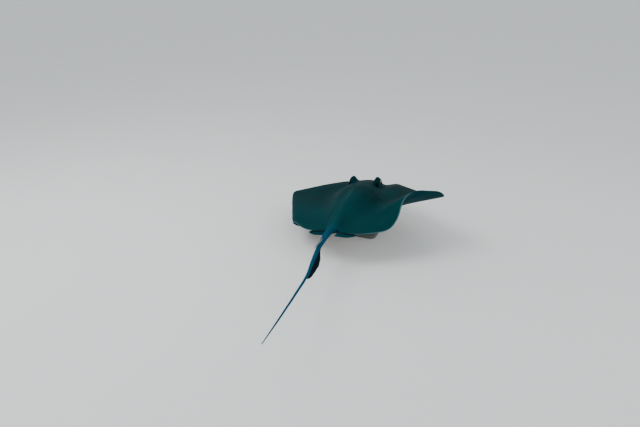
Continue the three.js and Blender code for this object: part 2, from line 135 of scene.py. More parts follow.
# ---- features that only the skin has, in plan shares -------------------------------------------
MOUTH = {"s": 0.184, "half_width": 0.043, "sag": 0.008, "groove": 0.0022, "depth": 0.006}
NOSTRIL = {"x": 0.043, "s": 0.158, "half_width": 0.0075, "half_length": 0.0055, "depth": 0.005}
CURTAIN = {"half_width": 0.037, "front": 0.150, "rear": 0.1755, "height": 0.0026}
GILLS = {
    "count": 5, "first": (0.098, 0.268), "last": (0.066, 0.392), "half": 0.0125, "depth": 0.004,
    "shorter": 0.25, "lean": (0.25, 0.55), "bow": -0.2,
}
CLOACA = {"x": 0, "s": 0.722, "half_width": 0.005, "half_length": 0.016, "depth": 0.006}
LID = {  # in half-sizes of the eyeball
    "half_width": 0.84, "above": 0.6, "below": 0.74, "reach": 1.14, "thinner": 0.06, "sunk": 0.88,
}
FURROWS = (  # height, middle and half-width across, and where each comes in and goes out
    (0.0008, 0, 0.009, (0.27, 0.34), (2, 3)),
    (-0.0016, 0.03, 0.014, (0.3, 0.42), (0.66, 0.74)),
    (-0.0035, 0.042, 0.014, (0.58, 0.68), (0.74, 0.78)),
)
WAVES = {"height": 0.0016, "margin": (0.72, 1), "rear": (0.5, 0.6), "along": 90, "across": 30}
THORN = {
    "sides": 10, "base": 0.62, "tip": 0.06, "stands": 0.32, "lean": 0.7, "s": (0.3, 0.815),
    "patch": 0.0024,
}

# ---- how fine the meshes are -------------------------------------------------------------------
ROWS = 120  # from snout to tail
COLUMNS = 54  # from midline to margin
TAIL_GRID = (32, 200)
FOLD_GRID = (32, 110)
PELVIC_GRID = (48, 34)
MERGE_WITHIN = 1e-5


def clamped(x, low=0.0, high=1.0):
    return np.minimum(np.maximum(x, low), high)


def smooth(x, low, high):
    """0 below low, 1 above high, and smooth between them."""
    u = clamped((np.asarray(x, float) - low) / (high - low))
    return u * u * (3 - 2 * u)


def fade(x, low, high):
    """1 below low and 0 above high."""
    return 1 - smooth(x, low, high)


def blend(a, b, share):
    return a + (b - a) * share


def bell(x, middle, half_width):
    return np.exp(-(((x - middle) / half_width) ** 2))


def stretch(a, b, start, end, u):
    """Points at shares u of a curve from a to b that starts and ends with these slopes."""
    square = 3 * (b - a) - 2 * start - end
    return a + start * u + square * u**2 + (2 * (a - b) + start + end) * u**3


def along(knots, x):
    """Height at x of a smooth curve through knots (x, height)."""
    places, heights = np.array(knots, float).T
    last = len(places) - 1
    x = clamped(np.asarray(x, float), places[0], places[last])
    i = clamped(np.searchsorted(places, x, side="right") - 1, 0, last - 1)
    before, after = np.maximum(i - 1, 0), np.minimum(i + 2, last)
    step = places[i + 1] - places[i]
    start = (heights[i + 1] - heights[before]) / (places[i + 1] - places[before]) * step
    end = (heights[after] - heights[i]) / (places[after] - places[i]) * step
    return stretch(heights[i], heights[i + 1], start, end, (x - places[i]) / step)


def straight(knots, x):
    """Height at x of straight lines through knots (x, height), carried on past both ends."""
    places, heights = np.array(knots, float).T
    i = clamped(np.searchsorted(places, x, side="right"), 1, len(places) - 1)
    share = (x - places[i - 1]) / (places[i] - places[i - 1])
    return blend(heights[i - 1], heights[i], share)


# ---- the disc: plan, pose and thickness --------------------------------------------------------
def outline_points(steps=300):
    """Points of the half outline, and how far along it each one lies, from 0 to 1."""
    u = np.linspace(0, 1, steps)[:, None]
    line = np.concatenate([
        a * (1 - u) ** 3 + 3 * b * u * (1 - u) ** 2 + 3 * c * u * u * (1 - u) + d * u**3
        for a, b, c, d in np.array(OUTLINE, float)
    ])
    place = np.concatenate([[0], np.cumsum(np.hypot(*np.diff(line, axis=0).T))])
    return place / place[-1], line


MARGIN_PLACES, MARGIN_LINE = outline_points()


def read_off(line, places, wanted):
    """Points of a line at the wanted places, given the place of each of its own."""
    return np.stack([np.interp(wanted, places, column) for column in line.T], -1)


def plan_point(t, q):
    """Plan x and s at row t, from snout to tail, and column q, from midline to margin."""
    edge_x, edge_s = read_off(MARGIN_LINE, MARGIN_PLACES, t).T
    return edge_x * q, blend(blend(AXIS_START, AXIS_END, t), edge_s, q)


def right_bend(d, s):
    return along(RIGHT_RISE, s) * smooth(d, 0, BEND_ROOM)


def left_bend(d, s):
    rise = along(LEFT_RISE, s) * smooth(d, 0, BEND_ROOM)
    start = straight(CURL_START, s)
    curl = smooth((blend(ROOT, 0.5, d) - start) / CURL_WIDTH, 0, 1)
    return blend(rise, along(CURL_ANGLE, s), curl)


def sheet(x, s, side):
    """The bent middle sheet at plan x, s, from the body's origin. side is 1 left, -1 right."""
    step = np.maximum(x - ROOT, 0) / BEND_STEPS
    across = np.minimum(x, ROOT)
    up = SHOULDER["rise"] * smooth(x, *SHOULDER["x"]) * fade(s, *SHOULDER["s"])
    up = up - SNOUT["droop"] * fade(x, *SNOUT["x"]) * fade(s, *SNOUT["s"])
    for k in range(BEND_STEPS):
        d = step * (k + 0.5) / (0.5 - ROOT)
        angle = np.radians(np.where(side > 0, left_bend(d, s), right_bend(d, s)))
        across = across + np.cos(angle) * step
        up = up + np.sin(angle) * step
    return np.stack([side * across, s - MIDDLE, up], axis=1) * DISC_WIDTH


def unit(vectors):
    return vectors / np.linalg.norm(vectors, axis=-1, keepdims=True)


def facing(point, across, back, side):
    """Outward way of a surface, from a point and those next to it across and back."""
    return unit(np.cross(across - point, back - point)) * side


def sheet_normal(x, s, side, step=0.001):
    near = sheet(x + step, s, side), sheet(x, s + step, side)
    return facing(sheet(x, s, side), *near, side[:, None])


def oval(x, s, place):
    """Distance from the middle of an oval feature, 1 on its edge."""
    return np.hypot((x - place["x"]) / place["half_width"], (s - place["s"]) / place["half_length"])


def slit(x, s, start, end, bow):
    """Distance from a bowed slit between two points of the plan."""
    (x0, s0), (x1, s1) = start, end
    middle = ((x0 + x1) / 2, (s0 + s1) / 2)
    half = math.hypot(x1 - x0, s1 - s0) / 2
    dx, ds = (x1 - x0) / 2 / half, (s1 - s0) / 2 / half
    along_it = ((x - middle[0]) * dx + (s - middle[1]) * ds) / half
    off = (s - middle[1]) * dx - (x - middle[0]) * ds - bow * (1 - clamped(along_it, -1, 1) ** 2)
    return np.hypot(off, np.maximum(np.abs(along_it) - 1, 0) * half)


def mouth_distance(x, s):
    sag = MOUTH["sag"] * (clamped(x / MOUTH["half_width"], 0, 1) ** 2)
    beyond = np.maximum(x - MOUTH["half_width"], 0)
    return np.hypot(s - MOUTH["s"] + sag, beyond)


def gill_distance(x, s):
    nearest = np.full_like(x, 1.0)
    for k in range(GILLS["count"]):
        share = k / (GILLS["count"] - 1)
        middle_x, middle_s = blend(np.array(GILLS["first"]), np.array(GILLS["last"]), share)
        half = GILLS["half"] * (1 - GILLS["shorter"] * share)
        lean = blend(*GILLS["lean"], share) * half
        start = (middle_x - half, middle_s + lean)
        end = (middle_x + half, middle_s - lean)
        nearest = np.minimum(nearest, slit(x, s, start, end, GILLS["bow"] * half))
    return nearest


def margin_waves(x, s, q):
    """Height of the low waves along the rear margin."""
    share = smooth(q, *WAVES["margin"]) * smooth(s, *WAVES["rear"])
    return WAVES["height"] * share * np.sin(s * WAVES["along"] + x * WAVES["across"])


def back_details(x, s, q):
    """Relief of the back over its plain form."""
    relief = margin_waves(x, s, q)
    for height, middle, half_width, start, end in FURROWS:
        relief = relief + height * bell(x, middle, half_width) * smooth(s, *start) * fade(s, *end)
    crown = -0.0035 * bell(x, 0, 0.03) * bell(s, 0.2, 0.04)
    snout = 0.0012 * bell(x, 0.02 + 0.25 * s, 0.012) * smooth(s, 0.02, 0.06)
    snout = snout * fade(s, 0.12, 0.17)
    girdle = 0.0018 * bell(s, 0.36 + 0.35 * np.maximum(x - 0.1, 0), 0.02) * bell(x, 0.13, 0.05)
    return relief + crown + snout + girdle


def belly_details(x, s, q):
    """Relief of the belly, outward, over its plain form."""
    mouth = mouth_distance(x, s)
    lips = 0.0014 * bell(mouth, 0.0055, 0.003)
    cut = MOUTH["depth"] * fade(mouth, 0.0006, MOUTH["groove"] * 1.6)
    curtain_side = fade(x, CURTAIN["half_width"] - 0.003, CURTAIN["half_width"])
    fringe = CURTAIN["rear"] + 0.0006 * np.sin(x * 1400)
    curtain = smooth(s, CURTAIN["front"], CURTAIN["front"] + 0.012)
    curtain = curtain * fade(s, fringe - 0.0006, fringe + 0.0008) * curtain_side * CURTAIN["height"]
    nostril = NOSTRIL["depth"] * fade(oval(x, s, NOSTRIL), 0.35, 1)
    nostril_lip = 0.001 * bell(oval(x, s, NOSTRIL), 1.2, 0.3)
    gills = gill_distance(x, s)
    gill_cut = GILLS["depth"] * fade(gills, 0.0003, 0.0022)
    gill_lip = 0.0009 * bell(gills, 0.0034, 0.0018)
    vent = oval(x, s, CLOACA)
    vent_cut = CLOACA["depth"] * fade(vent, 0.1, 0.9) - 0.0014 * bell(vent, 1.15, 0.3)
    girdle = 0.0022 * bell(s, 0.425 - 0.2 * x, 0.012) * fade(x, 0.1, 0.16)
    cuts = cut + nostril + gill_cut + vent_cut
    return lips + curtain + nostril_lip + gill_lip + girdle - cuts - margin_waves(x, s, q)


def skin_offset(t, q, x, s, on_back):
    """How far the skin stands off the middle sheet."""
    ends = np.minimum(1, 4 * t + 0.1) * (1 - 0.87 * smooth(t, 0.72, 1))
    wing = WING_THICKNESS * (1 - q) ** 0.75 * ends
    ridge = along(BACK_HEIGHT, s) * (1 - q**6)
    ridge = ridge * np.exp(-((x / along(BACK_HALF_WIDTH, s)) ** BACK_SQUARENESS))
    orbit = ORBIT["height"] * np.exp(-(oval(x, s, ORBIT) ** ORBIT_DOME))
    hole = oval(x, s, SPIRACLE)
    spiracle = SPIRACLE["depth"] * fade(hole, 0.3, 1) - 0.0016 * bell(hole, 1.15, 0.25)
    back = DISC_WIDTH * (wing + ridge + orbit - spiracle) + back_details(x, s, q)
    belly = DISC_WIDTH * (BELLY_SHARE * wing + BELLY_BULGE * ridge) + belly_details(x, s, q)
    return np.where(on_back, back, belly) + MARGIN_HALF


def skin_point(t, q, side, on_back):
    x, s = plan_point(t, q)
    offset = skin_offset(t, q, x, s, on_back) * np.where(on_back, 1, -1)
    return sheet(x, s, side) + sheet_normal(x, s, side) * offset[:, None]


POSE = (
    Matrix.Translation((0, BODY_SHIFT, BODY_LIFT))
    @ Matrix.Rotation(NOSE_DOWN, 4, "X")
    @ Matrix.Rotation(ROLL, 4, "Y")
)


def posed(points):
    turn = np.array(POSE)
    return points @ turn[:3, :3].T + turn[:3, 3]


# ---- eyes: where they sit and how the skin closes round them ------------------------------------
def eye_axes(side):
    """Middle of an eyeball and its out, back and up axes, before the pose."""
    low, high = 0.0, 1.0
    for _ in range(30):
        t = (low + high) / 2
        q = min(EYE["x"] / plan_point(t, 1)[0], 1)
        if plan_point(t, q)[1] < EYE["s"]:
            low = t
        else:
            high = t
    step = 0.01
    t = np.array([low, low, low + step])
    q = np.array([q, q + step, q])
    near = plain_back(t, q, np.full(3, float(side)))
    out = facing(*near, side)
    middle = near[0] - out * EYE["sunk"]
    behind = unit(np.array([0, 1, 0]) - out * out[1])
    return middle, np.array([out, behind, unit(np.cross(out, behind))])


def plain_back(t, q, side):
    """The back without the skin's own relief, which carries the eyes."""
    x, s = plan_point(t, q)
    relief = back_details(x, s, q)
    return skin_point(t, q, side, True) - sheet_normal(x, s, side) * relief[:, None]


def closed_round_eye(points, side):
    """Points of the skin drawn in under the eyeball, and raised round it as lids."""
    middle, axes = eye_axes(side)
    local = ((points - middle) @ axes.T) / EYE["half"]
    reach = np.linalg.norm(local, axis=1)
    way = local / np.maximum(reach, 1e-9)[:, None]
    half_height = np.where(way[:, 2] > 0, LID["above"], LID["below"])
    opening = np.hypot(way[:, 1] / LID["half_width"], way[:, 2] / half_height)
    near = fade(reach, 1.5, 2.4) * smooth(way[:, 0], -0.1, 0.15)
    lid = LID["reach"] - LID["thinner"] * smooth(opening, 1.1, 1.5)
    raised = blend(reach, np.maximum(reach, lid), fade(opening, 1.35, 2) * near)
    sunk = blend(reach, np.minimum(reach, LID["sunk"]), near)
    changed = blend(sunk, raised, smooth(opening, 0.93, 1.04))
    return points + (way * (changed - reach)[:, None] * EYE["half"]) @ axes


# ---- the tail ------------------------------------------------------------------------------------
def catmull_rom(knots, steps=60):
    """Points of a centripetal Catmull-Rom curve through knots, with steps in each stretch."""
    knots = np.array(knots, float)
    knots = np.concatenate([[2 * knots[0] - knots[1]], knots, [2 * knots[-1] - knots[-2]]])
    line = []
    for p0, p1, p2, p3 in zip(knots, knots[1:], knots[2:], knots[3:]):
        d0, d1, d2 = (np.linalg.norm(b - a) ** 0.5 for a, b in ((p0, p1), (p1, p2), (p2, p3)))
        start = ((p1 - p0) / d0 - (p2 - p0) / (d0 + d1) + (p2 - p1) / d1) * d1
        end = ((p2 - p1) / d1 - (p3 - p1) / (d1 + d2) + (p3 - p2) / d2) * d1
        u = np.linspace(0, 1, steps, endpoint=False)[:, None]
        line.append(stretch(p1, p2, start, end, u))
    return np.concatenate([*line, knots[-2:-1]])


TAIL_LINE = catmull_rom([place[:3] for place in TAIL]) + (0, BODY_SHIFT, BODY_LIFT)


def tail_at(y):
    """Centres, sideways and up axes and half-sizes of the tail at places y behind the origin."""
    wanted = np.asarray(y, float) + BODY_SHIFT
    centre = read_off(TAIL_LINE, TAIL_LINE[:, 1], wanted)
    forward = unit(read_off(np.gradient(TAIL_LINE, axis=0), TAIL_LINE[:, 1], wanted))
    lateral = unit(np.cross(forward, [0, 0, 1]))
    up = unit(np.cross(lateral, forward))
    half = [along([(place[1], place[i]) for place in TAIL], y) for i in (3, 4)]
    return centre, lateral, up, np.stack(half, 1)


# ---- building meshes -----------------------------------------------------------------------------
def flat_grid(columns, rows):
    """A mesh of a flat grid from -1 to 1 both ways."""
    bm = bmesh.new()
    bmesh.ops.create_grid(bm, x_segments=columns, y_segments=rows, size=1)
    return bm


def corners(bm):
    return np.array([v.co[:] for v in bm.verts])


def moved_to(bm, points):
    for vert, point in zip(bm.verts, points):
        vert.co = point


def in_scene(name, data):
    """A new object with this data, in the scene."""
    made = bpy.data.objects.new(name, data)
    bpy.context.scene.collection.objects.link(made)
    return made


def named_object(name, bm, material):
    """A new smooth object from a bmesh, with its faces out."""
    bmesh.ops.recalc_face_normals(bm, faces=bm.faces)
    mesh = bpy.data.meshes.new(name)
    bm.to_mesh(mesh)
    bm.free()
    mesh.materials.append(material)
    mesh.shade_smooth()
    return in_scene(name, mesh)


def add_fact(mesh, name, values):
    """Stores one value at each vertex, for the materials."""
    layer = mesh.attributes.new(name, "FLOAT", "POINT")
    layer.data.foreach_set("value", values.astype(np.float32))


def facts_at(s, **others):
    """What the materials are told of a form's vertices; what isn't given is 0."""
    names = ("plan_x", "row", "margin", "under", "dark")
    return {"plan_s": s, **{name: others.get(name, np.zeros_like(s)) for name in names}}


def disc_place(flat):
    """Row, column, side, face and closing row of the disc for corners of its flat grid."""
    around = (flat[:, 0] + 1) / 2  # left margin, over the back, right margin, under the belly
    row = (flat[:, 1] + 1) / 2 * (ROWS + 1) / ROWS
    on_back = around < 0.5
    signed = np.where(on_back, 1 - 4 * around, 4 * around - 3)
    q = 1 - (1 - np.minimum(np.abs(signed), 1)) ** 1.25
    return np.minimum(row, 1), q, np.where(signed < 0, -1.0, 1.0), on_back, row > 1 + 0.5 / ROWS


def split_within(bm, low_x, high_x, low_s, high_s, back):
    """Splits the flat faces in a box of the plan, on the back or the belly."""
    middles = np.array([face.calc_center_median()[:] for face in bm.faces])
    t, q, _, on_back, _ = disc_place(middles)
    x, s = plan_point(t, q)
    inside = (x > low_x) & (x < high_x) & (s > low_s) & (s < high_s) & (on_back == back)
    bm.faces.ensure_lookup_table()
    edges = {edge for i in np.flatnonzero(inside) for edge in bm.faces[i].edges}
    bmesh.ops.subdivide_edges(bm, edges=list(edges), cuts=1, use_grid_fill=True)


FINE_PLACES = (  # boxes of the plan that are split, coarse to fine
    (0, 0.135, 0.12, 0.30, True), (0.045, 0.125, 0.155, 0.28, True),
    (0.066, 0.118, 0.172, 0.274, True), (0.084, 0.112, 0.183, 0.218, True),
    (0, 0.12, 0.135, 0.42, False), (0, 0.06, 0.142, 0.2, False),
    (0, 0.052, 0.147, 0.192, False), (0.045, 0.115, 0.25, 0.41, False),
    (0, 0.012, 0.695, 0.75, False), (0, 0.009, 0.7, 0.745, False),
)


def disc_mesh():
    """The disc as one closed shell, with its rim on the middle sheet."""
    bm = flat_grid(4 * COLUMNS, ROWS + 1)
    for box in FINE_PLACES:
        split_within(bm, *box)
    t, q, side, on_back, closing = disc_place(corners(bm))
    x, s = plan_point(t, q)
    points = skin_point(t, q, side, on_back)
    middle_sheet = sheet(x, s, side)
    rim = q > 1 - 1e-6
    inner_x, inner_s = plan_point(t, np.full_like(q, 0.97))
    outward = unit(middle_sheet - sheet(inner_x, inner_s, side) + 1e-12)
    points = np.where(rim[:, None], middle_sheet + outward * MARGIN_HALF, points)
    points = np.where(closing[:, None], middle_sheet + (0, 0.0012, 0), points)
    for eye_side in (1, -1):
        here = on_back & (side == eye_side) & (np.abs(s - EYE["s"]) < 0.06)
        here &= (x > 0.03) & (x < 0.16)
        points[here] = closed_round_eye(points[here], eye_side)
    hole = oval(x, s, SPIRACLE)
    # Near-black painted shade inside the spiracle and the mouth, gills, nostrils and vent.
    spiracle_shade = fade(hole, 0.55, 0.95)
    opening_shade = fade(np.minimum(mouth_distance(x, s), gill_distance(x, s)), 0.0004, 0.0024)
    opening_shade = np.maximum(opening_shade, fade(oval(x, s, NOSTRIL), 0.4, 0.9))
    opening_shade = np.maximum(opening_shade, fade(oval(x, s, CLOACA), 0.2, 0.8))
    under = np.where(rim | closing, 0.4, np.where(on_back, 0, 1))
    dark = np.where(on_back, spiracle_shade, opening_shade)
    moved_to(bm, posed(points))
    return bm, facts_at(s, plan_x=side * x, row=t, margin=q, under=under, dark=dark)


def tube_mesh(grid, ring):
    """A closed tube: ring gives the points at shares along and turns round, and its facts."""
    bm = flat_grid(*grid)
    flat = (corners(bm) + 1) / 2
    points, facts = ring(flat[:, 1], flat[:, 0] * 2 * math.pi)
    moved_to(bm, points)
    return bm, facts


def off_centre(centre, lateral, up, sideways, upward):
    return centre + lateral * sideways[:, None] + up * upward[:, None]


def closing_ends(k, share=0.004):
    """1 along a tube, falling to 0 in a short round cap at each end."""
    near = np.minimum(k, 1 - k) / share
    return np.sqrt(clamped(1 - (1 - np.minimum(near, 1)) ** 2))


def tail_ring(k, turn):
    y = blend(TAIL[0][1], TAIL[-1][1], k**0.9)
    centre, lateral, up, half = tail_at(y)
    thorny = 1 + 0.04 * np.sin(turn * 9 + k * 40) * smooth(k, 0.3, 0.5) * fade(k, 0.8, 1)
    size = half.T * thorny * closing_ends(k)
    points = off_centre(centre, lateral, up, np.cos(turn) * size[0], np.sin(turn) * size[1])
    s = y / DISC_WIDTH + MIDDLE
    pale = smooth(-np.sin(turn), 0.1, 0.7) * fade(s, 0.72, 0.79)
    return points, facts_at(s, plan_x=np.cos(turn) * half[:, 0] / DISC_WIDTH, under=pale)


def fold_ring(k, turn):
    y = blend(FOLD["from"], FOLD["to"], k)
    centre, lateral, up, half = tail_at(y)
    depth = FOLD["depth"] * smooth(k, *FOLD["ramp"])
    depth = depth * np.sqrt(clamped((1 - k) / FOLD["end"], 0.02, 1))
    depth = depth * (1 + 0.03 * np.sin(k * 31)) + half[:, 1]
    cos, sin = math.cos(FOLD["lean"]), math.sin(FOLD["lean"])
    lateral, up = lateral * cos - up * sin, lateral * sin + up * cos
    ends = closing_ends(k, 0.01)
    waver = 0.0006 * np.sin(k * 22) * clamped(-np.sin(turn), 0, 1)
    sideways = np.cos(turn) * FOLD["half"] * ends + waver
    points = off_centre(centre, lateral, up, sideways, (np.sin(turn) * ends - 1) * depth / 2)
    # The whole fold is marked dark: painted shade under the tail.
    return points, facts_at(y / DISC_WIDTH + MIDDLE, dark=np.ones_like(y))


def pelvic_mesh(side):
    """A pelvic fin as a flat closed tube: over its top from the root, and back under it."""
    bm = flat_grid(*PELVIC_GRID)
    flat = (corners(bm) + 1) / 2
    around, k = flat[:, 0], flat[:, 1]
    t = clamped((k - 0.03) / 0.94)
    q = 1 - np.abs(2 * around - 1)
    on_top = around < 0.5
    shut = closing_ends(k, 0.03) * (np.minimum(1, (1 - q) * 12) * np.minimum(1, q * 12)) ** 0.5
    root = blend(*np.array(PELVIC_ROOT), t[:, None])
    line = catmull_rom(PELVIC_EDGE, 30)
    plan = blend(root, read_off(line, np.linspace(0, 1, len(line)), t), q[:, None])
    half = blend(*PELVIC_HALF, q) * shut * np.where(on_top, 1, -1)
    points = sheet(plan[:, 0], plan[:, 1], np.full_like(t, side))
    points[:, 2] += half - DISC_WIDTH * PELVIC_DROP
    moved_to(bm, posed(points))
    margin = smooth(q, 0.2, 1) * 0.985
    under = np.where(on_top, 0, 1)
    return bm, facts_at(plan[:, 1], plan_x=side * plan[:, 0], row=t, margin=margin, under=under)


def spread_facts(target, sources):
    """Gives each vertex of target the facts of the nearest one of the meshes it was made from."""
    places = np.concatenate([source["points"] for source in sources])
    names = sources[0]["facts"].keys()
    facts = {name: np.concatenate([source["facts"][name] for source in sources]) for name in names}
    part = np.concatenate([np.full(len(source["points"]), i) for i, source in enumerate(sources)])
    tree = KDTree(len(places))
    for i, place in enumerate(places):
        tree.insert(place, i)
    tree.balance()
    nearest = np.array([tree.find(v.co)[1] for v in target.vertices])
    for name, values in facts.items():
        add_fact(target, name, values[nearest])
    return part[nearest]


def seams_smoothed(mesh, part, reach=5, rounds=14):
    """Rounds the creases where the joined forms meet: reach is in edges either side of a seam."""
    bm = bmesh.new()
    bm.from_mesh(mesh)
    bm.verts.ensure_lookup_table()
    near = {
        vert for edge in bm.edges if part[edge.verts[0].index] != part[edge.verts[1].index]
        for vert in edge.verts
    }
    for _ in range(reach):
        near |= {edge.other_vert(vert) for vert in near for edge in vert.link_edges}
    for _ in range(rounds):
        bmesh.ops.smooth_vert(
            bm, verts=list(near), factor=0.5, use_axis_x=True, use_axis_y=True, use_axis_z=True
        )
    bm.to_mesh(mesh)
    bm.free()


# ---- materials -----------------------------------------------------------------------------------
SKIN_SPANS = {  # where a fact or a noise starts and ends to count, and the shares it then gives
    "blotch": (0.25, 0.75, 0.12, 0.6),
    # rear: painted light, the rear of the back made lighter where it is lit
    "rear": (0.36, 0.62, 0.0, 0.55),
    "behind neck": (0.3, 0.5),
    # ridge: a painted highlight along the midline ridge
    "ridge": (0.055, 0.012, 0.0, 0.45),
    "sand": (0.7, 0.76, 0.0, 0.35),
    # tail: bluish tone with a painted sheen on the tail's upper side
    "tail": (0.7, 0.86),
    "tail width": (0.055, 0.035),
    "pale edge": (0.982, 0.991, 0.0, 0.85),
    "pale from": (0.42, 0.5),
    "flush": (0.2, 0.8),
    "dusky edge": (0.82, 1.0),
    # painted shade over the wings' outer undersides and under the rear of the disc
    "painted wing shade": (0.21, 0.33),
    "painted rear shade": (0.69, 0.74, 0.0, 0.95),
    "under": (0.5, 0.75),
    # dark: near-black painted shade in the openings and on the fold under the tail
    "dark": (0.1, 0.9, 0.0, 0.93),
    "roughness": (0.2, 0.8, 0.5, 0.66),
    "rays": (0.4, 0.85, 0.0, 0.16),
    "ray ends": (1.0, 0.93),
}


class Nodes:
    """Short ways to add shader nodes to a tree. They are given plain values or other sockets."""

    def __init__(self, tree):
        self.tree = tree
        self.place = None

    def put(self, socket, value):
        if isinstance(value, bpy.types.NodeSocket):
            self.tree.links.new(value, socket)
        else:
            socket.default_value = value

    def add(self, kind, inputs=None, **settings):
        """Adds a node; inputs maps a socket's name or number to what goes into it."""
        made = self.tree.nodes.new(kind)
        for name, value in settings.items():
            setattr(made, name, value)
        for name, value in (inputs or {}).items():
            self.put(made.inputs[name], value)
        return made

    def maths(self, operation, a, b=0.0, c=0.0):
        return self.add("ShaderNodeMath", {0: a, 1: b, 2: c}, operation=operation).outputs[0]

    def times(self, a, b):
        return self.maths("MULTIPLY", a, b)

    def squared(self, value):
        return self.maths("POWER", value, 2.0)

    def shifted(self, value, by, amount):
        """value with a share of by added."""
        return self.maths("MULTIPLY_ADD", by, amount, value)

    def ramp(self, value, low, high, start=0.0, end=1.0):
        """value mapped from low..high to start..end, smoothly and clamped."""
        ends = {"From Min": low, "From Max": high, "To Min": start, "To Max": end}
        ends["Value"] = value
        made = self.add("ShaderNodeMapRange", ends, interpolation_type="SMOOTHSTEP")
        return made.outputs["Result"]

    def span(self, name, value):
        return self.ramp(value, *SKIN_SPANS[name])

    def mix(self, share, a, b):
        return self.add("ShaderNodeMix", {0: share, 6: a, 7: b}, data_type="RGBA").outputs[2]

    def layered(self, colour, *layers):
        """A colour with others laid over it in turn, each with its share."""
        for share, over in layers:
            colour = self.mix(share, colour, over)
        return colour

    def fact(self, name):
        return self.add("ShaderNodeAttribute", attribute_name=name).outputs["Fac"]

    def noise(self, scale, detail=4.0, roughness=0.55):
        inputs = {"Vector": self.place, "Scale": scale, "Detail": detail, "Roughness": roughness}
        return self.add("ShaderNodeTexNoise", inputs).outputs["Fac"]


def new_group(name, output, **inputs):
    """A shared group's nodes, the sockets that it is given and the one that it fills."""
    tree = bpy.data.node_groups.new(name, "ShaderNodeTree")
    tree.interface.new_socket("Vector", in_out="INPUT", socket_type="NodeSocketVector")
    for title, value in inputs.items():
        title = title.replace("_", " ")
        socket = tree.interface.new_socket(title, in_out="INPUT", socket_type="NodeSocketFloat")
        socket.default_value = value
    tree.interface.new_socket(output, in_out="OUTPUT", socket_type="NodeSocketFloat")
    nodes = Nodes(tree)
    given = nodes.add("NodeGroupInput").outputs
    nodes.place = given["Vector"]
    return nodes, given, nodes.add("NodeGroupOutput").inputs[output]


def mottle_group():
    """Soft blotches with small light and dark specks over them, as a value round 0.5."""
    nodes, given, value = new_group(
        "skin mottle", "Value", Blotch_scale=14.0, Speck_scale=260.0, Strength=0.5
    )
    blotch = nodes.noise(given["Blotch scale"], 5.0, 0.6)
    fine = nodes.noise(given["Speck scale"], 3.0, 0.65)
    both = nodes.shifted(nodes.times(blotch, 0.65), fine, 0.35)
    nodes.put(value, nodes.shifted(0.5, nodes.maths("SUBTRACT", both, 0.5), given["Strength"]))
    return nodes.tree


def grain_group():
    """Height of smooth fish skin: shallow pores, faint wrinkles and rays that run to the margin."""
    nodes, given, height = new_group(
        "skin grain", "Height", Pore_scale=900.0, Ray_place=0.0, Ray_count=95.0, Ray_strength=0.5
    )
    inputs = {"Vector": nodes.place, "Scale": given["Pore scale"]}
    pores = nodes.add("ShaderNodeTexVoronoi", inputs, feature="SMOOTH_F1").outputs["Distance"]
    turn = nodes.times(nodes.times(given["Ray place"], given["Ray count"]), math.tau)
    ray = nodes.times(nodes.maths("SINE", turn), given["Ray strength"])
    wrinkles = nodes.times(nodes.noise(120.0, 5.0, 0.6), 0.8)
    nodes.put(height, nodes.maths("ADD", nodes.shifted(wrinkles, pores, 0.25), ray))
    return nodes.tree


GROUP_MAKERS = {"skin mottle": mottle_group, "skin grain": grain_group}


class Look(Nodes):
    """A new material, with the sockets of its shader and the object's own coordinates."""

    def __init__(self, name, plain):
        self.material = bpy.data.materials.new(name)
        self.material.use_nodes = True
        super().__init__(self.material.node_tree)
        self.place = self.add("ShaderNodeTexCoord").outputs["Object"]
        self.shader = self.tree.nodes["Principled BSDF"].inputs
        for title, value in plain.items():
            self.shader[title].default_value = value

    def shared(self, name, **inputs):
        """The output of a group that several materials use, which is built once."""
        inputs = {title.replace("_", " "): value for title, value in inputs.items()}
        group = bpy.data.node_groups.get(name) or GROUP_MAKERS[name]()
        made = self.add("ShaderNodeGroup", {}, node_tree=group)
        for title, value in {"Vector": self.place, **inputs}.items():
            self.put(made.inputs[title], value)
        return made.outputs[0]

    def finished(self, colour, roughness=None, height=None, strength=0.0, distance=0.0):
        """The material with these sockets in its shader, and a bump of this height."""
        self.put(self.shader["Base Color"], colour)
        if roughness is not None:
            self.put(self.shader["Roughness"], roughness)
        if height is not None:
            inputs = {"Height": height, "Strength": strength, "Distance": distance}
            self.put(self.shader["Normal"], self.add("ShaderNodeBump", inputs).outputs["Normal"])
        return self.material


